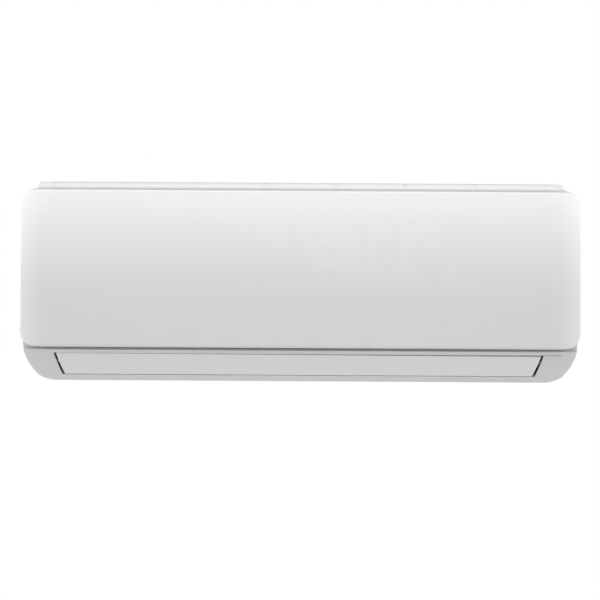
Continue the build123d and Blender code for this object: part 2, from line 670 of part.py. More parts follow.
def make_motor_cover():
    """The moulded clamp over the motor: two end yokes on a half shell."""
    low, high = MOTOR_X
    shell = pipe_x(FAN_Y, FAN_Z, MOTOR_R + 6, MOTOR_R + 3.5, low, high)
    shell &= block(low, high, FAN_Y - 60, FAN_Y + 60, FAN_Z, FAN_Z + 60)
    for x0 in (low, high - 5):
        yoke = pipe_x(FAN_Y, FAN_Z, MOTOR_R + 6, 18, x0, x0 + 5)
        shell += yoke & block(low, high, FAN_Y - 60, FAN_Y + 60, FAN_Z, FAN_Z + 60)
    feet = [block(low, high, FAN_Y + s * 48.5 - 3.5, FAN_Y + s * 48.5 + 3.5, FAN_Z, FAN_Z + 3)
            for s in (-1, 1)]
    tie = block(CHAMBER_RIGHT + WALL, low, FAN_Y - 46, FAN_Y + 46, FAN_Z + 1, FAN_Z + 4)
    tie -= rod(FAN_Y, FAN_Z, 20, low - 10, low + 1)
    return shell.fuse(*feet, tie)


# ---------------------------------------------------------------- the coil
class Slab:
    """One straight block of fins: it starts at an outer corner and runs at an angle."""

    def __init__(self, corner, degrees, inward_sign, length, tubes):
        self.corner, self.length, self.tubes = corner, length, tubes
        self.way = (math.cos(math.radians(degrees)), math.sin(math.radians(degrees)))
        self.inward = (inward_sign * self.way[1], -inward_sign * self.way[0])

    def at(self, along, depth):
        return tuple(
            self.corner[k] + along * self.way[k] + depth * self.inward[k] for k in (0, 1)
        )

    def outline(self, grow=0.0):
        start, end = -grow, self.length + grow
        low, high = -grow, COIL_T + grow
        return yz_polygon([self.at(start, low), self.at(end, low), self.at(end, high),
                           self.at(start, high)])

    def tube_centres(self):
        """Two staggered rows, in the order in which the tube winds through them."""
        step = TUBE_PITCH / 2
        return [self.at(8 + k * step, 6.5 if k % 2 == 0 else 17.5) for k in range(self.tubes)]


SLABS = {
    "front": Slab((-160, -54), 90, 1, 82, 8),
    "upper": Slab((-155.5, 42.6), 54.2, 1, 70, 6),
    "rear": Slab((-75.2, 99.2), -54.6, 1, 72, 6),
}


def make_fins(slab):
    block_of_fins = along_x(slab.outline(), COIL_LEFT, COIL_RIGHT)
    holes = [rod(*c, TUBE_R, COIL_LEFT - 1, COIL_RIGHT + 1) for c in slab.tube_centres()]
    return block_of_fins.cut(*holes)


def return_bend(a, b, x, way):
    """Half a ring of tube that joins two tube ends."""
    middle = ((a[0] + b[0]) / 2, (a[1] + b[1]) / 2)
    axis_way = (0, b[0] - a[0], b[1] - a[1])
    turn = Vector(*axis_way).cross(Vector(way, 0, 0))
    start = Plane(origin=(x, *a), z_dir=(way, 0, 0))
    axis = Axis((x, *middle), tuple(turn.normalized()))
    ring = revolve(start * Circle(TUBE_R), axis=axis, revolution_arc=180)
    probe = ring.bounding_box()
    reach = probe.max.X if way > 0 else -probe.min.X
    if reach < abs(x) * (1 if way * x > 0 else -1) + 2:
        ring = revolve(start * Circle(TUBE_R), axis=axis, revolution_arc=-180)
    return ring


TUBE_LEFT, TUBE_RIGHT = COIL_LEFT - 4, COIL_RIGHT + 4


def make_tubes():
    tubes = []
    for slab in SLABS.values():
        centres = slab.tube_centres()
        tubes += [rod(*c, TUBE_R, TUBE_LEFT, TUBE_RIGHT) for c in centres]
        for k in range(0, len(centres) - 1, 2):
            tubes.append(return_bend(centres[k], centres[k + 1], TUBE_LEFT, -1))
        for k in range(1, len(centres) - 1, 2):
            tubes.append(return_bend(centres[k], centres[k + 1], TUBE_RIGHT, 1))
    return tubes


def make_end_plate(low, high):
    plates = [along_x(slab.outline(0.6), low, high) for slab in SLABS.values()]
    plate = plates[0].fuse(*plates[1:])
    holes = [rod(*c, TUBE_R + 0.3, low - 1, high + 1)
             for slab in SLABS.values() for c in slab.tube_centres()]
    return plate.cut(*holes)


# ---------------------------------------------------------------- the pipes
GAS_R, LIQUID_R, FOAM_T = 4.8, 3.2, 4.5
GAS_Z, LIQUID_Z, PIPE_Y = -126.0, -105.0, -22.5
PIPE_TURN_X, PIPE_END_X = -24.0, -60.0
PIPE_TILT = 8.0  # degrees by which the pipes' ends turn towards the wall
PIPE_WAY = (-math.cos(math.radians(PIPE_TILT)), math.sin(math.radians(PIPE_TILT)), 0)
PIPE_END_Y = PIPE_Y + (PIPE_TURN_X - PIPE_END_X) * math.tan(math.radians(PIPE_TILT))


def bent_pipe(route, radius, bend):
    path = FilletPolyline(*route, radius=bend)
    start = Plane(origin=path @ 0, z_dir=path % 0)
    return sweep(start * Circle(radius), path=path)


def make_gas_pipe():
    start = SLABS["rear"].tube_centres()[-1]
    x = 292.0
    route = [(TUBE_RIGHT, *start), (x, *start), (x, PIPE_Y, 12), (x, PIPE_Y, GAS_Z),
             (PIPE_TURN_X, PIPE_Y, GAS_Z), (PIPE_END_X, PIPE_END_Y, GAS_Z)]
    return bent_pipe(route, GAS_R, 14)


def make_liquid_pipe():
    start = SLABS["rear"].tube_centres()[0]
    x = 276.0
    route = [(TUBE_RIGHT, *start), (x, *start), (x, PIPE_Y, 60), (x, PIPE_Y, LIQUID_Z),
             (PIPE_TURN_X, PIPE_Y, LIQUID_Z), (PIPE_END_X, PIPE_END_Y, LIQUID_Z)]
    return bent_pipe(route, LIQUID_R, 12)


def make_pipe_foam():
    gas = pipe_x(PIPE_Y, GAS_Z, GAS_R + FOAM_T, GAS_R, -20, 270)
    liquid = pipe_x(PIPE_Y, LIQUID_Z, LIQUID_R + FOAM_T, LIQUID_R, -20, 256)
    return [gas, liquid]


def union(z, pipe_r, thread_r, length):
    """A flared union on a pipe's end: a hexagon and a threaded nose."""
    face = Plane(origin=(PIPE_END_X, PIPE_END_Y, z), z_dir=PIPE_WAY)
    hexagon = 8.0
    body = extrude(face * RegularPolygon(thread_r + 2.2, 6), amount=hexagon)
    nose = extrude(face.offset(hexagon) * Circle(thread_r), amount=length)
    bore = extrude(face.offset(2) * Circle(pipe_r - 1), amount=hexagon + length)
    return (body + nose) - bore


def make_pipe_clamp():
    """A strap across the pipe channel that keeps the pipes in."""
    strap = block(120, 150, -12.5, -10.5, -141, -60.5)
    hook = block(120, 150, -40, -10.5, -141, -138.5)
    rib = block(134, 136, -38, -12.5, -138.5, -136.5)
    return strap.fuse(hook, rib)


# ---------------------------------------------------------------- filters
def filter_arc(inner, outer, low, high):
    """A flat ring sector in the side view, about the filters' centre."""
    centre = (FILTER_Y, FILTER_Z)
    start, end, middle = 180 - low, 180 - high, 180 - (low + high) / 2
    return yz_face(
        ThreePointArc(polar(centre, outer, start), polar(centre, outer, middle),
                      polar(centre, outer, end)),
        Line(polar(centre, outer, end), polar(centre, inner, end)),
        ThreePointArc(polar(centre, inner, end), polar(centre, inner, middle),
                      polar(centre, inner, start)),
        Line(polar(centre, inner, start), polar(centre, outer, start)),
    )


def make_filter_frame(low, high):
    inner, outer = FILTER_R - FILTER_T / 2, FILTER_R + FILTER_T / 2
    strip, columns, rows = 3.0, 5, 8
    whole = filter_arc(inner, outer, FILTER_LOW, FILTER_HIGH)
    pitch = (high - low - 2 * strip) / columns
    pieces = [along_x(whole, low, low + 5), along_x(whole, high - 5, high)]
    pieces += [along_x(whole, low + strip + k * pitch - 1, low + strip + k * pitch + 1)
               for k in range(1, columns)]
    step = (FILTER_HIGH - FILTER_LOW - 1.2) / rows
    for k in range(rows + 1):
        start = FILTER_LOW + k * step
        wide = 1.2 if k in (0, rows) else 0.8
        pieces.append(along_x(filter_arc(inner, outer, start, start + wide), low, high))
    grip = filter_arc(outer - 0.4, outer + 3.5, FILTER_LOW, FILTER_LOW + 1.6)
    middle = (low + high) / 2
    pieces += [along_x(grip, x - 17, x + 17) for x in (middle - 90, middle + 90)]
    return pieces[0].fuse(*pieces[1:])


def make_filter_mesh(low, high):
    inner = FILTER_R - FILTER_T / 2
    net = filter_arc(inner - 0.3, inner, FILTER_LOW + 0.3, FILTER_HIGH - 0.3)
    return along_x(net, low + 4, high - 4)


def make_filter_rails():
    """Curved guides at both sides and the middle, grooved for the filters' edges."""
    body = filter_arc(FILTER_R - 3, FILTER_R + 3, -12.5, 84.5)
    groove = filter_arc(FILTER_R - 1.8, FILTER_R + 1.8, -20, 90)
    rails = []
    for index, (low, high) in enumerate(RAILS):
        rail = along_x(body, low, high)
        if index > 0:
            rail -= along_x(groove, low - 1, low + 3)
        if index < 2:
            rail -= along_x(groove, high - 3, high + 1)
        rails.append(rail)
    return rails


# ---------------------------------------------------------------- the vanes
FLOW = (-0.665, -0.7469)  # the way the air leaves, in y and z
ACROSS = (-FLOW[1], FLOW[0])  # from the vanes' middle to the duct's floor


def vane_frame(x):
    return Plane(origin=(x, VANE_Y, VANE_Z), x_dir=(0, *FLOW), z_dir=(0, *ACROSS))


def vane_places(side):
    return [side * (VANE_FIRST + VANE_PITCH * k) for k in range(VANES_A_SIDE)]


def make_vane(x):
    """One vane: a thin plate with a pivot pin at its foot and a pin for the link bar."""
    frame = vane_frame(x)
    half = VANE_HEIGHT / 2
    side = Plane(origin=(x, VANE_Y, VANE_Z), x_dir=(0, *FLOW), z_dir=X_AXIS)
    plate = extrude(side * RectangleRounded(VANE_LENGTH, VANE_HEIGHT, 6), amount=VANE_T / 2, both=True)
    collar = frame * Pos(0, 0, half + 2.75) * Cylinder(3.0, 6.5)
    pin = frame * Pos(0, 0, half + 8.5) * Cylinder(VANE_PIN_R, 5.5)
    link = frame * Pos(LINK_ARM, 0, half - 0.5) * Cylinder(LINK_PIN_R, 11)
    return plate.fuse(collar, pin, link)


def make_link_bar(places):
    """The bar that joins one side's vanes, with a tab for a finger."""
    low, high = min(places) - 6, max(places) + 6
    level = VANE_HEIGHT / 2 + 2.7
    frame = vane_frame(0)
    middle = (low + high) / 2
    bar = frame * Pos(LINK_ARM, -middle, level) * Box(6, high - low, 2.4)
    tab_x = middle
    tab = frame * Pos(LINK_ARM + 2.2, -tab_x, level - 6) * Box(1.6, 14, 12)
    holes = [frame * Pos(LINK_ARM, -x, level) * Cylinder(LINK_PIN_R + LINK_GAP, 6) for x in places]
    return (bar + tab).cut(*holes)


def duct_floor_from(along):
    """How far the duct's floor is from the vanes' middle, at a place along the flow."""
    y, z = VANE_Y + along * FLOW[0], VANE_Z + along * FLOW[1]
    low, high = 0.0, 60.0
    for _ in range(40):
        middle = (low + high) / 2
        inside = z + middle * ACROSS[1] > duct_floor(y + middle * ACROSS[0])
        low, high = (middle, high) if inside else (low, middle)
    return low


def make_vane_rail(places):
    """The strip on the duct's floor that the vanes' pins turn in."""
    top = VANE_HEIGHT / 2 + 6.3
    corners = [(-6, top), (5, top), (5, duct_floor_from(5)), (-6, duct_floor_from(-6))]
    points = [(VANE_Y + f * FLOW[0] + a * ACROSS[0], VANE_Z + f * FLOW[1] + a * ACROSS[1])
              for f, a in corners]
    strip = along_x(yz_polygon(points), min(places) - 12, max(places) + 12)
    frame = vane_frame(0)
    holes = [frame * Pos(0, -x, top + 1) * Cylinder(VANE_PIN_R + RUNNING_GAP, 12) for x in places]
    return strip.cut(*holes)


# ---------------------------------------------------------------- louvre drive and support
def make_louvre_support():
    """The hanger from the duct's roof that carries the louvre's middle pin."""
    y, z = PIVOT
    ring_r = LOUVRE_MID_PIN_R + 2.8
    arm = yz_polygon([(y - 4, z + 1), (y + 4, z + 1), (y + 5.5, pan_roof(y + 5.5)),
                      (y - 7.5, pan_roof(y - 7.5))])
    body = along_x(arm, -4, 4) + rod(y, z, ring_r, -4, 4)
    return body - rod(y, z, LOUVRE_MID_PIN_R + RUNNING_GAP, -5, 5)


STEPPER_X = (DUCT_END + WALL + 0.3, 370.0)


def make_louvre_motor():
    """A small geared motor whose shaft is off the middle of its can."""
    y, z = PIVOT[0] + 7.5 * INWARD[0], PIVOT[1] + 7.5 * INWARD[1]
    low, high = STEPPER_X
    can = rod(y, z, 9.5, low, high)
    ears = Plane(origin=(low + 0.8, y, z), x_dir=(0, *DOWN), z_dir=(1, 0, 0)) * Box(30, 6, 1.6)
    return (can + ears) - rod(*PIVOT, DRIVE_PIN_R + RUNNING_GAP, low - 1, high - 3)


# ---------------------------------------------------------------- electrics
def make_control_box():
    outer = block(338, 386, -146, -46, -36, 84)
    inner = block(340, 387, -144, -48, -34, 82)
    floor = [block(340, 344, y, y + 4, z, z + 4) for y in (-136, -60) for z in (-26, 70)]
    return (outer - inner).fuse(*floor)


def make_control_cover():
    plate = block(384.2, 386, -143.6, -48.4, -33.6, 81.6)
    slots = [block(384, 387, y, y + 3, 34, 64) for y in range(-130, -60, 10)]
    return plate.cut(*slots)


def make_circuit_board():
    """The board on its four posts, with its main parts soldered on."""
    board = block(344, 345.6, -141, -52, -30, 79)
    parts = [
        Pos(351.6, -70, 62) * Rot(0, 90, 0) * Cylinder(8, 12),
        Pos(349.6, -96, 64) * Rot(0, 90, 0) * Cylinder(5, 8),
        block(345.6, 361, -134, -116, 46, 72),
        block(345.6, 363, -112, -84, 12, 44),
        block(345.6, 357, -78, -60, 20, 34),
        block(345.6, 350, -132, -118, 4, 18),
        block(345.6, 352, -136, -100, -24, -16),
        block(345.6, 353, -76, -58, -10, 6),
    ]
    return board.fuse(*parts)


def make_terminal_block():
    base = block(342, 381, -165, -146, -34, -12)
    cells = [block(344 + 7.4 * k, 349.4 + 7.4 * k, -166, -154, -29, -11) for k in range(5)]
    return base.cut(*cells)


BUTTON = (366.0, -48.0, 4.0)
BUTTON_PROUD = 1.2  # it stands this far out of the bezel, which is its whole travel
LENS = (345.0, -48.0)
BEZEL_Y = (-182.0, -172.0)


def along_y(x, z, radius, low, high):
    return Pos(x, (low + high) / 2, z) * Rot(90, 0, 0) * Cylinder(radius, high - low)


def make_display_bezel():
    x0, x1, z0, z1 = BEZEL_BOX
    body = block(x0 + 0.4, x1 - 0.4, *BEZEL_Y, z0 + 0.4, z1 - 0.4)
    front_edges = body.edges().group_by(Axis.Y)[0]
    body = fillet(front_edges, 1.5)
    body -= along_y(BUTTON[0], BUTTON[1], BUTTON[2] + 0.3, BEZEL_Y[0] - 1, BEZEL_Y[1] + 1)
    body -= block(LENS[0] - 7, LENS[0] + 7, BEZEL_Y[0] - 1, BEZEL_Y[0] + 3, -54, -26)
    return body


def make_signal_window():
    lens = block(LENS[0] - 6.8, LENS[0] + 6.8, BEZEL_Y[0] - 0.2, BEZEL_Y[0] + 3, -53.8, -26.2)
    return fillet(lens.edges().group_by(Axis.Y)[0], 0.6)


def make_button():
    """The manual switch's cap, which springs back out."""
    cap = along_y(BUTTON[0], BUTTON[1], BUTTON[2], BEZEL_Y[0] - BUTTON_PROUD, BEZEL_Y[1] - 4)
    cap = fillet(cap.edges().filter_by(GeomType.CIRCLE).group_by(Axis.Y)[0], 0.8)
    return cap + along_y(BUTTON[0], BUTTON[1], 1.6, BEZEL_Y[1] - 4, BEZEL_Y[1] - 1.6)


def make_display_board():
    board = block(335, 375, BEZEL_Y[1] + 0.2, BEZEL_Y[1] + 1.8, -60, -20)
    return board + block(338, 352, BEZEL_Y[1] + 1.8, BEZEL_Y[1] + 5, -50, -38)


# ---------------------------------------------------------------- wall plate and small parts
def make_wall_plate():
    """The pressed steel plate on the wall, with hooks that carry the unit."""
    plate = block(-PLATE_HALF_W, PLATE_HALF_W, -PLATE_T, 0, PLATE_LOW, PLATE_HIGH)
    plate = fillet(plate.edges().filter_by(Axis.Y), 8)
    cuts = [along_y(sx * SCREW_X, sz * SCREW_Z, SCREW_HOLE_R, -5, 5)
            for sx in (-1, 1) for sz in (-1, 1)]
    cuts += [block(x - 26, x + 26, -5, 5, -12, 12) for x in (-150, -80, 80, 150)]
    cuts += [block(x - 26, x + 26, -5, 5, 52, 74) for x in (-110, 0, 110)]
    cuts += [block(x - 26, x + 26, -5, 5, -56, -42) for x in (-110, 0, 110)]
    hooks = []
    for side in (-1, 1):
        x0, x1 = side * HOOK_X - 13, side * HOOK_X + 13
        hooks.append(block(x0, x1, -17.4, 0, PLATE_HIGH - 2.4, PLATE_HIGH - 1.2))
        hooks.append(block(x0, x1, -17.4, -16.2, PLATE_HIGH - 2.4, PLATE_HIGH + 7))
        low = side * 250
        hooks.append(block(low - 10, low + 10, -12, 0, PLATE_LOW, PLATE_LOW + 1.2))
    rims = [block(-210, 210, -5, 0, z, z + PLATE_T) for z in (34.0, -28.0)]
    return plate.cut(*cuts).fuse(*hooks, *rims)


CAP_X = (-250.0, 250.0)


def make_screw_caps():
    """Caps over the casing's screws, on the duct's floor just inside the outlet."""
    caps = []
    for x in CAP_X:
        y = -116.0
        z = duct_floor(y)
        slope = math.degrees(math.atan2(DUCT_LOW[1] - duct_floor(-80), DUCT_LOW[0] + 80)) + 180
        cap = Pos(x, y, z) * Rot(slope, 0, 0) * Pos(0, 0, 0.75) * Box(16, 11, 1.5)
        caps.append(cap)
    return caps


def make_room_sensor():
    """The air sensor's bulb on a clip at the coil's front."""
    clip = block(236, 240, -166.4, -161, 0, 9)
    bulb = rod(-164.2, 4.5, 2.2, 222, 236)
    return clip + bulb


def make_coil_seal():
    """The foam strip that closes the gap between the two upper slabs."""
    upper, rear = SLABS["upper"], SLABS["rear"]
    points = [upper.at(upper.length, 1), upper.at(upper.length, 22), rear.at(0, 1)]
    return along_x(yz_polygon(points), COIL_LEFT + 4, COIL_RIGHT - 4)


def make_parts():
    frame, wiring_cover = make_front_frame()
    parts = {
        "wall_plate": make_wall_plate(),
        "rear_chassis": make_rear_chassis(),
        "front_frame": frame,
        "wiring_cover": wiring_cover,
        "top_grille": make_top_grille(),
        "front_panel": make_front_panel(),
        "filter_rails": make_filter_rails(),
        "drain_pan": make_drain_pan(),
        "drain_spout": make_drain_spout(),
        "fan_wheel": make_fan_wheel(),
        "fan_shaft": make_fan_shaft(),
        "fan_bearing": make_fan_bearing(),
        "bearing_mount": make_bearing_mount(),
        "fan_motor": make_fan_motor(),
        "motor_shaft": make_motor_shaft(),
        "motor_mounts": make_motor_mounts(),
        "motor_cover": make_motor_cover(),
        "coil_tubes": make_tubes(),
        "coil_plates": [make_end_plate(COIL_LEFT - 1.2, COIL_LEFT),
                        make_end_plate(COIL_RIGHT, COIL_RIGHT + 1.2)],
        "coil_seal": make_coil_seal(),
        "gas_pipe": make_gas_pipe(),
        "liquid_pipe": make_liquid_pipe(),
        "pipe_foam": make_pipe_foam(),
        "gas_union": union(GAS_Z, GAS_R, 7.94, 14),
        "liquid_union": union(LIQUID_Z, LIQUID_R, 5.56, 12),
        "pipe_clamp": make_pipe_clamp(),
        "louvre": make_louvre(),
        "louvre_support": make_louvre_support(),
        "louvre_motor": make_louvre_motor(),
        "control_box": make_control_box(),
        "control_cover": make_control_cover(),
        "circuit_board": make_circuit_board(),
        "terminal_block": make_terminal_block(),
        "display_bezel": make_display_bezel(),
        "signal_window": make_signal_window(),
        "display_board": make_display_board(),
        "manual_button": make_button(),
        "screw_caps": make_screw_caps(),
        "room_sensor": make_room_sensor(),
        "coil_fins_front": [make_fins(SLABS["front"]), make_fins(SLABS["upper"])],
        "coil_fins_rear": make_fins(SLABS["rear"]),
        "vane_rails": [make_vane_rail(vane_places(side)) for side in (-1, 1)],
    }
    for name, span in FILTER_SPANS.items():
        parts[f"filter_frame_{name}"] = make_filter_frame(*span)
        parts[f"filter_mesh_{name}"] = make_filter_mesh(*span)
    for name, side in (("left", -1), ("right", 1)):
        places = vane_places(side)
        parts[f"vane_link_{name}"] = make_link_bar(places)
        for k, x in enumerate(places, 1):
            parts[f"vane_{name}_{k}"] = make_vane(x)
    return parts


def write(parts):
    os.makedirs("parts", exist_ok=True)
    for name, shape in parts.items():
        solids = shape if isinstance(shape, list) else shape.solids()
        flat = [solid for piece in solids for solid in piece.solids()]
        export_step(Compound(children=flat) if len(flat) > 1 else flat[0], f"parts/{name}.step")


write(make_parts())
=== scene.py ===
"""Looks of the wall-mounted indoor unit: materials, fine pieces, light and camera. Metres."""

import math

import bpy
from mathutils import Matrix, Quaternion, Vector


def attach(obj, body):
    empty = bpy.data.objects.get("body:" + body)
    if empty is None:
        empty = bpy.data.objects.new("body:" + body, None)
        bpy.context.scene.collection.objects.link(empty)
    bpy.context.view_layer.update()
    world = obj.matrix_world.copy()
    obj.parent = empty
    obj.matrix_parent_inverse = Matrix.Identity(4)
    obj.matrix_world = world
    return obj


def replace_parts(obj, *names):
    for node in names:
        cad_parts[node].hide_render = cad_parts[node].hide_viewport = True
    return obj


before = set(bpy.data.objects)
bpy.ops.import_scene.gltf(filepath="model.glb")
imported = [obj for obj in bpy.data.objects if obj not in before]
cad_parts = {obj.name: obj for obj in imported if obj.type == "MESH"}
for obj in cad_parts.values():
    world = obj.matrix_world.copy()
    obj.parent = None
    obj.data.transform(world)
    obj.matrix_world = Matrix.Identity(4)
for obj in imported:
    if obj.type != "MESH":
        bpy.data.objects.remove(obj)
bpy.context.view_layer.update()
MM = 0.001


# ---------------------------------------------------------------- materials
NOISE_RANGE = (0.3, 0.7)  # most of a noise's values lie between these
RELIEF_DETAIL = 2.0
GLOSS_LOW, GLOSS_HIGH = 0.88, 1.12  # roughness varies between these shares of its value
GLOSS_FINER = 6  # and in patches this many times smaller than the tone's
# painted shade on what looks up: its tone and how finely it is mottled
TOP_SHADE_TONE, TOP_SHADE_SCALE = (0.42, 0.41, 0.40, 1), 240.0
TOP_SHADE_LEAST = 0.85  # the lightest painted shade, as a share of the darkest
TOP_SHADE_FACING = (0.4, 0.85)  # the normal's upward part where the painted shade starts and where it is full


def link(tree, source, target):
    tree.links.new(source, target)


def node(tree, kind, **values):
    """A new node; each value goes to the input of that name, or to the setting."""
    made = tree.nodes.new(kind)
    for key, value in values.items():
        if key in made.inputs:
            made.inputs[key].default_value = value
        else:
            setattr(made, key, value)
    return made


def noise(tree, vector, scale, detail=3.0):
    made = node(tree, "ShaderNodeTexNoise", Scale=scale, Detail=detail)
    link(tree, vector, made.inputs["Vector"])
    return made.outputs["Fac"]


def remap(tree, value, source, target, curve="LINEAR"):
    """Take a value from one range to another and hold it at the ends."""
    made = node(tree, "ShaderNodeMapRange", interpolation_type=curve)
    for key, number in zip(("From Min", "From Max", "To Min", "To Max"), (*source, *target)):
        made.inputs[key].default_value = number
    link(tree, value, made.inputs["Value"])
    return made.outputs["Result"]


def varied(tree, place, colour, spread, patch):
    """A tone that turns a little darker in soft patches."""
    made = node(tree, "ShaderNodeMix", data_type="RGBA")
    made.inputs["A"].default_value = (*[c * (1 - spread) for c in colour], 1)
    made.inputs["B"].default_value = (*colour, 1)
    link(tree, noise(tree, place, patch), made.inputs["Factor"])
    return made.outputs["Result"]


def top_shaded(tree, place, tone, top_shade):
    """Painted shade: a mottled darker tone on what looks up while the unit is closed, which tones
    down the overhead light on tops and rims.
    """
    up = node(tree, "ShaderNodeSeparateXYZ")
    link(tree, node(tree, "ShaderNodeTexCoord").outputs["Normal"], up.inputs["Vector"])
    facing = remap(tree, up.outputs["Z"], TOP_SHADE_FACING, (0.0, 1.0), "SMOOTHSTEP")
    layer = remap(tree, noise(tree, place, TOP_SHADE_SCALE), NOISE_RANGE, (TOP_SHADE_LEAST * top_shade, top_shade))
    amount = node(tree, "ShaderNodeMath", operation="MULTIPLY")
    link(tree, facing, amount.inputs[0])
    link(tree, layer, amount.inputs[1])
    made = node(tree, "ShaderNodeMix", data_type="RGBA")
    made.inputs["B"].default_value = TOP_SHADE_TONE
    link(tree, tone, made.inputs["A"])
    link(tree, amount.outputs["Value"], made.inputs["Factor"])
    return made.outputs["Result"]


def finish(name, colour, rough, grain, depth, metal=0.0, spread=0.03, stretch=(1, 1, 1),
           top_shade=0.0, coat=0.0, patch=14.0):
    """A moulded, sheet or cast surface: tone, gloss and fine relief all vary over it."""
    made = bpy.data.materials.new(name)
    made.use_nodes = True
    tree = made.node_tree
    scaled = node(tree, "ShaderNodeMapping", Scale=stretch)
    link(tree, node(tree, "ShaderNodeTexCoord").outputs["Object"], scaled.inputs["Vector"])
    place = scaled.outputs["Vector"]

    tone = varied(tree, place, colour, spread, patch)
    # painted shade: what looks up is darkened to tone down the overhead light
    if top_shade:
        tone = top_shaded(tree, place, tone, top_shade)
    gloss = remap(tree, noise(tree, place, patch * GLOSS_FINER), NOISE_RANGE,
                  (rough * GLOSS_LOW, rough * GLOSS_HIGH))
    relief = node(tree, "ShaderNodeBump", Strength=1.0, Distance=depth)
    link(tree, noise(tree, place, 1 / grain, RELIEF_DETAIL), relief.inputs["Height"])

    shader = tree.nodes["Principled BSDF"]
    shader.inputs["Metallic"].default_value = metal
    shader.inputs["Coat Weight"].default_value = coat
    link(tree, tone, shader.inputs["Base Color"])
    link(tree, gloss, shader.inputs["Roughness"])
    link(tree, relief.outputs["Normal"], shader.inputs["Normal"])
    return made


# grain and depth are the relief's width and height in metres, patch is about how many patches
# of tone lie in a metre, and spread is how much darker the darkest of them is
# the panel's and case's up-facing tops and rims take painted shade, which tones down the overhead
# light
FINISHES = {
    "panel_white": dict(colour=(0.83, 0.83, 0.83), rough=0.34, grain=0.0012, depth=0.000004,
                        spread=0.012, top_shade=0.6),
    "case_white": dict(colour=(0.72, 0.72, 0.72), rough=0.50, grain=0.0006, depth=0.00002,
                       spread=0.02, top_shade=0.36),
    "chassis_white": dict(colour=(0.62, 0.63, 0.63), rough=0.55, grain=0.0007, depth=0.00003,
                          spread=0.05, top_shade=0.12),
    "fan_dark": dict(colour=(0.035, 0.037, 0.04), rough=0.42, grain=0.0005, depth=0.00003,
                     spread=0.3, top_shade=0.05),
    "filter_frame": dict(colour=(0.34, 0.38, 0.43), rough=0.5, grain=0.0006, depth=0.00002),
    "filter_mesh": dict(colour=(0.38, 0.41, 0.45), rough=0.6, grain=0.0003, depth=0.00002,
                        spread=0.2),
    "vane_white": dict(colour=(0.66, 0.66, 0.66), rough=0.48, grain=0.0006, depth=0.00002),
    "foam_white": dict(colour=(0.72, 0.73, 0.72), rough=0.75, grain=0.0028, depth=0.00012,
                       spread=0.05),
    "fin_aluminium": dict(colour=(0.66, 0.74, 0.79), rough=0.42, grain=0.0006, depth=0.00002,
                          metal=0.55, spread=0.12, stretch=(1, 1, 6)),
    "steel_zinc": dict(colour=(0.55, 0.56, 0.57), rough=0.36, grain=0.004, depth=0.00003,
                       metal=0.95, spread=0.22, patch=60.0),
    "steel_shaft": dict(colour=(0.50, 0.50, 0.51), rough=0.25, grain=0.0004, depth=0.00001,
                        metal=1.0, spread=0.1, stretch=(30, 1, 1)),
    "copper": dict(colour=(0.72, 0.33, 0.19), rough=0.33, grain=0.0008, depth=0.00001,
                   metal=1.0, spread=0.25, stretch=(0.2, 1, 1), patch=40.0),
    "brass": dict(colour=(0.74, 0.54, 0.22), rough=0.28, grain=0.0003, depth=0.00001,
                  metal=1.0, spread=0.12, stretch=(20, 1, 1)),
    "rubber_black": dict(colour=(0.018, 0.018, 0.018), rough=0.8, grain=0.0008, depth=0.00005,
                         spread=0.3),
    "pipe_foam": dict(colour=(0.68, 0.68, 0.66), rough=0.85, grain=0.0016, depth=0.00012,
                      spread=0.06),
    "bearing_bronze": dict(colour=(0.32, 0.22, 0.12), rough=0.45, grain=0.0004, depth=0.00003,
                           metal=1.0, spread=0.2),
    "motor_case": dict(colour=(0.24, 0.25, 0.26), rough=0.42, grain=0.0009, depth=0.00004,
                       metal=0.6, spread=0.12),
    "board_green": dict(colour=(0.02, 0.11, 0.05), rough=0.32, grain=0.002, depth=0.00003,
                        spread=0.35, patch=300.0),
    "part_black": dict(colour=(0.02, 0.02, 0.022), rough=0.42, grain=0.0006, depth=0.00003,
                       spread=0.3),
    "window_smoke": dict(colour=(0.02, 0.02, 0.028), rough=0.12, grain=0.002, depth=0.000002,
                         spread=0.1, coat=0.5),
}
MATERIALS = {name: finish(name, **look) for name, look in FINISHES.items()}


def dress_cad():
    """Each solid of the frame takes the finish of its own material slot."""
    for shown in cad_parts.values():
        for place in shown.material_slots:
            name = place.material.name.split(".")[0] if place.material else ""
            if name in MATERIALS:
                place.material = MATERIALS[name]


# ---------------------------------------------------------------- new pieces
def place_in_scene(name, data):
    made = bpy.data.objects.new(name, data)
    bpy.context.scene.collection.objects.link(made)
    return made


def add(name, corners, faces, finish_name, body):
    """A new mesh piece that rides on a body and takes a finish by its slot's name."""
    mesh = bpy.data.meshes.new(name)
    mesh.from_pydata(corners, [], faces)
    mesh.update()
    mesh.materials.append(MATERIALS[finish_name])
    made = place_in_scene(name, mesh)
    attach(made, body)
    return made


def loft(corners, faces, rings):
    """Join rings of points in mm, each to the next, and give the first point's number."""
    base, wide = len(corners), len(rings[0])
    for ring in rings:
        corners.extend([(x * MM, y * MM, z * MM) for x, y, z in ring])
    for k in range(len(rings) - 1):
        here, there = base + k * wide, base + (k + 1) * wide
        for j in range(wide):
            n = (j + 1) % wide
            faces.append((here + j, here + n, there + n, there + j))
    return base


# ---------------------------------------------------------------- the coil's fins
COIL_LEFT, COIL_RIGHT, COIL_T = -351.0, 256.0, 24.0
FIN_PITCH, FIN_T, FIN_INSET = 1.8, 0.22, 0.6
FIN_STEPS, WAVE_STEPS, WAVE_DEPTH = 12, 4, 0.35  # three waves along each edge of a fin
SLABS = {  # the outer corner (y, z), the slope in degrees and the length of each block
    "front": ((-160.0, -54.0), 90.0, 82.0),
    "upper": ((-155.5, 42.6), 54.2, 70.0),
    "rear": ((-75.2, 99.2), -54.6, 72.0),
}


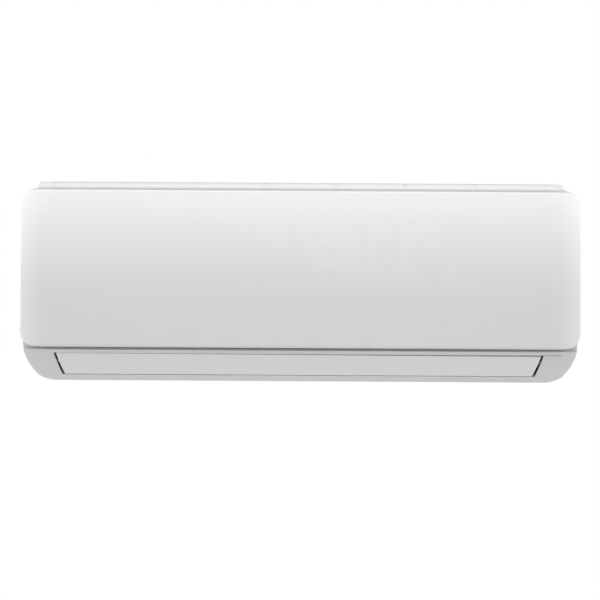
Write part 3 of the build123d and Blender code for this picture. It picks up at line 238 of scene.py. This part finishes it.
def fin_outline(slab):
    """A fin's side view: both long edges are gently waved between the tube rows."""
    (y0, z0), degrees, length = SLABS[slab]
    way = (math.cos(math.radians(degrees)), math.sin(math.radians(degrees)))
    inward = (way[1], -way[0])

    def at(step, depth):
        along = length * step / FIN_STEPS
        return (y0 + along * way[0] + depth * inward[0], z0 + along * way[1] + depth * inward[1])

    steps = range(FIN_STEPS + 1)
    wave = [WAVE_DEPTH * (1 - math.cos(2 * math.pi * k / WAVE_STEPS)) for k in steps]
    outer = [at(k, wave[k]) for k in steps]
    inner = [at(k, COIL_T - wave[k]) for k in steps]
    return outer + inner[::-1]


def add_fins(name, slabs, replaced):
    """Thin separate fins, side by side along the coil's blocks."""
    corners, faces = [], []
    for slab in slabs:
        outline = fin_outline(slab)
        count = len(outline)
        x = COIL_LEFT + FIN_INSET
        while x < COIL_RIGHT - FIN_INSET:
            sides = [[(side, y, z) for y, z in outline] for side in (x, x + FIN_T)]
            low = loft(corners, faces, sides)
            high = low + count
            for k in range(count // 2 - 1):
                across, back = count - 1 - k, count - 2 - k
                faces.append((low + k, low + across, low + back, low + k + 1))
                faces.append((high + k, high + k + 1, high + back, high + across))
            x += FIN_PITCH
    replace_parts(add(name, corners, faces, "fin_aluminium", "unit"), replaced)


# ---------------------------------------------------------------- the filters' nets
FILTER_Y, FILTER_Z, FILTER_R = -23.0, -14.0, 148.45
FILTER_LOW, FILTER_HIGH = -15.4, 77.4
NETS = {"left": (-347.8, -24.2), "right": (-11.8, 311.8)}
THREAD, NET_PITCH, NET_STEPS = 0.32, 1.9, 24
CURVED_IN, CURVED_OUT = -0.12, 0.12  # the radii of the curved threads, from the net's middle
LEVEL_IN, LEVEL_OUT = -0.2, 0.04  # and of the level ones


def on_arc(degrees, depth):
    """A point (y, z) at an angle on the filter's curve, out from the net's middle by depth."""
    turn, radius = math.radians(degrees), FILTER_R + depth
    return (FILTER_Y - radius * math.cos(turn), FILTER_Z + radius * math.sin(turn))


def add_net(side):
    """A woven net: threads along the width over threads along the filter's curve."""
    low, high = NETS[side]
    corners, faces = [], []
    angles = [FILTER_LOW + (FILTER_HIGH - FILTER_LOW) * k / NET_STEPS
              for k in range(NET_STEPS + 1)]
    x = low
    while x < high:
        far = x + THREAD
        edges = ((x, CURVED_IN), (far, CURVED_IN), (far, CURVED_OUT), (x, CURVED_OUT))
        loft(corners, faces, [[(e, *on_arc(a, depth)) for e, depth in edges] for a in angles])
        x += NET_PITCH
    thick = math.degrees(THREAD / FILTER_R)
    angle = FILTER_LOW
    while angle < FILTER_HIGH:
        top = angle + thick
        edges = ((angle, LEVEL_IN), (top, LEVEL_IN), (top, LEVEL_OUT), (angle, LEVEL_OUT))
        loft(corners, faces, [[(end, *on_arc(a, depth)) for a, depth in edges]
                              for end in (low, high)])
        angle += math.degrees(NET_PITCH / FILTER_R)
    made = add(f"filter_net_{side}", corners, faces, "filter_mesh", f"filter_{side}")
    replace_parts(made, f"filter_mesh_{side}")


# ---------------------------------------------------------------- small fixings
RING_STEPS = 24
# the head's outline as (radius, height) and the cross, all in shares of the screw's radius
SCREW_HEAD = ((1, 0), (1, 0.25), (0.86, 0.5), (0.6, 0.62), (0.34, 0.64))
CROSS_ARM, CROSS_WAIST, CROSS_TOP, CROSS_FLOOR = 0.33, 0.13, 0.64, 0.2
ARM_EVERY, ARM_STEPS = 6, (0, 1, 5)  # the steps round the head that an arm of the cross takes
TERMINALS, TERMINAL_PITCH = 5, 7.4


def add_screw(name, place, way, radius, finish_name):
    """A cross-head screw that faces +Y or -Y: a domed head with a sunk cross."""
    cross = [CROSS_ARM if k % ARM_EVERY in ARM_STEPS else CROSS_WAIST
             for k in range(RING_STEPS)]
    levels = [([wide] * RING_STEPS, high) for wide, high in SCREW_HEAD]
    levels += [(cross, CROSS_TOP), (cross, CROSS_FLOOR)]

    def ring(widths, high):
        points = []
        for k, wide in enumerate(widths):
            turn, reach = 2 * math.pi * k / RING_STEPS, radius * wide
            points.append((place[0] - way * reach * math.cos(turn), place[1] + way * high * radius,
                           place[2] + reach * math.sin(turn)))
        return points

    corners, faces = [], []
    loft(corners, faces, [ring(*level) for level in levels])
    faces.append(tuple(range(RING_STEPS))[::-1])
    faces.append(tuple(range(len(corners) - RING_STEPS, len(corners))))
    add(name, corners, faces, finish_name, "unit")


def add_screws():
    """The screws of the wiring cover, the terminals and the strap behind the unit."""
    add_screw("wiring_cover_screw", (361.0, -176.6, 10.0), -1, 3.2, "steel_zinc")
    for k in range(TERMINALS):
        x = 346.7 + TERMINAL_PITCH * k
        add_screw(f"terminal_screw_{k + 1}", (x, -154.0, -20.0), -1, 2.2, "brass")
    for k, x in enumerate((127.0, 143.0)):
        add_screw(f"strap_screw_{k + 1}", (x, -10.5, -70.0), 1, 3.0, "steel_zinc")


# ---------------------------------------------------------------- light and floor
SIDE_GLOW = ((0.55, 1.0), (0.0, 1.95))  # part of a direction towards a side, and its light
BACK_GLOW = ((0.0, 0.8), (0.0, 0.35))  # the same towards the back
LIGHTS = (  # name, place, target, width and height in metres, watts
    ("key", (0, -0.95, 2.2), (0, -0.15, 0), (4.5, 0.6), 86.0),
    ("low_fill", (0, -1.3, -1.15), (0, -0.15, -0.1), (4.0, 0.8), 10.5),
)
FLOOR_HALF, FLOOR_Z = 3.0, -1.3
FLOOR_FADE = (0.9, 2.9)  # how far out the floor starts to fade and where it is gone


def add_world():
    """A white surround, whose own light comes from both sides and from behind."""
    world = bpy.data.worlds.new("studio")
    bpy.context.scene.world = world
    bpy.context.scene.view_settings.view_transform = "Standard"
    world.use_nodes = True
    tree = world.node_tree
    tree.nodes.clear()
    way = node(tree, "ShaderNodeSeparateXYZ")
    link(tree, node(tree, "ShaderNodeTexCoord").outputs["Generated"], way.inputs["Vector"])
    across = node(tree, "ShaderNodeMath", operation="ABSOLUTE")
    link(tree, way.outputs["X"], across.inputs[0])
    total = node(tree, "ShaderNodeMath", operation="ADD")
    link(tree, remap(tree, across.outputs["Value"], *SIDE_GLOW, "SMOOTHSTEP"), total.inputs[0])
    link(tree, remap(tree, way.outputs["Y"], *BACK_GLOW, "SMOOTHSTEP"), total.inputs[1])
    lit = node(tree, "ShaderNodeBackground", Color=(1, 1, 1, 1))
    link(tree, total.outputs["Value"], lit.inputs["Strength"])
    seen = node(tree, "ShaderNodeBackground", Color=(1, 1, 1, 1), Strength=1.0)
    ray = node(tree, "ShaderNodeLightPath")
    mix = node(tree, "ShaderNodeMixShader")
    out = node(tree, "ShaderNodeOutputWorld")
    link(tree, ray.outputs["Is Camera Ray"], mix.inputs["Fac"])
    link(tree, lit.outputs[0], mix.inputs[1])
    link(tree, seen.outputs[0], mix.inputs[2])
    link(tree, mix.outputs[0], out.inputs["Surface"])


def aim(thing, target):
    """Turn a lamp or the camera to look at a point."""
    way = Vector(target) - thing.location
    thing.rotation_mode = "QUATERNION"
    thing.rotation_quaternion = way.to_track_quat("-Z", "Y")


def add_light(name, place, target, size, power):
    lamp = bpy.data.lights.new(name, "AREA")
    lamp.shape = "RECTANGLE"
    lamp.size, lamp.size_y = size
    lamp.energy = power
    made = place_in_scene(name, lamp)
    made.location = place
    aim(made, target)


def floor_finish():
    """A pale floor that fades out with distance, so that no far edge shows."""
    made = finish("floor_pale", colour=(0.80, 0.80, 0.80), rough=0.7, grain=0.004, depth=0.0001)
    tree = made.node_tree
    reach = node(tree, "ShaderNodeVectorMath", operation="LENGTH")
    link(tree, node(tree, "ShaderNodeTexCoord").outputs["Object"], reach.inputs[0])
    mix = node(tree, "ShaderNodeMixShader")
    faded = remap(tree, reach.outputs["Value"], FLOOR_FADE, (0.0, 1.0), "SMOOTHSTEP")
    link(tree, faded, mix.inputs["Fac"])
    link(tree, tree.nodes["Principled BSDF"].outputs[0], mix.inputs[1])
    link(tree, node(tree, "ShaderNodeBsdfTransparent").outputs[0], mix.inputs[2])
    link(tree, mix.outputs[0], tree.nodes["Material Output"].inputs["Surface"])
    return made


def add_floor():
    mesh = bpy.data.meshes.new("floor")
    half = FLOOR_HALF
    mesh.from_pydata([(-half, -half, 0), (half, -half, 0), (half, half, 0), (-half, half, 0)],
                     [], [(0, 1, 2, 3)])
    mesh.materials.append(floor_finish())
    made = place_in_scene("floor", mesh)
    made.location = (0, 0, FLOOR_Z)


# ---------------------------------------------------------------- camera
FRAME_PX, PIXEL_MM = 600, 1.440  # the frame's side, and what a pixel covers at the target
DISTANCE, TARGET_Y = 8.0, -0.15
RISE_DEG, ROLL_DEG = 1.4, 0.35
SHIFT_X_PX, SHIFT_Y_PX = -0.6, -17.05
SENSOR_MM = 36.0


def add_camera():
    """A long lens square to the unit's front, a little above it."""
    lens = bpy.data.cameras.new("camera")
    lens.sensor_fit = "HORIZONTAL"
    lens.sensor_width = SENSOR_MM
    lens.lens = SENSOR_MM * DISTANCE / (FRAME_PX * PIXEL_MM * MM)
    lens.clip_start, lens.clip_end = 0.1, 100
    lens.shift_x = SHIFT_X_PX / FRAME_PX
    lens.shift_y = SHIFT_Y_PX / FRAME_PX
    made = place_in_scene("camera", lens)
    angle = math.radians(RISE_DEG)
    made.location = (0, TARGET_Y - DISTANCE * math.cos(angle), DISTANCE * math.sin(angle))
    aim(made, (0, TARGET_Y, 0))
    roll = Quaternion((0, 0, 1), math.radians(ROLL_DEG))
    made.rotation_quaternion = made.rotation_quaternion @ roll
    bpy.context.scene.camera = made


dress_cad()
add_fins("coil_fins_front_plates", ("front", "upper"), "coil_fins_front")
add_fins("coil_fins_rear_plates", ("rear",), "coil_fins_rear")
for side in NETS:
    add_net(side)
add_screws()
add_world()
for light in LIGHTS:
    add_light(*light)
add_floor()
add_camera()
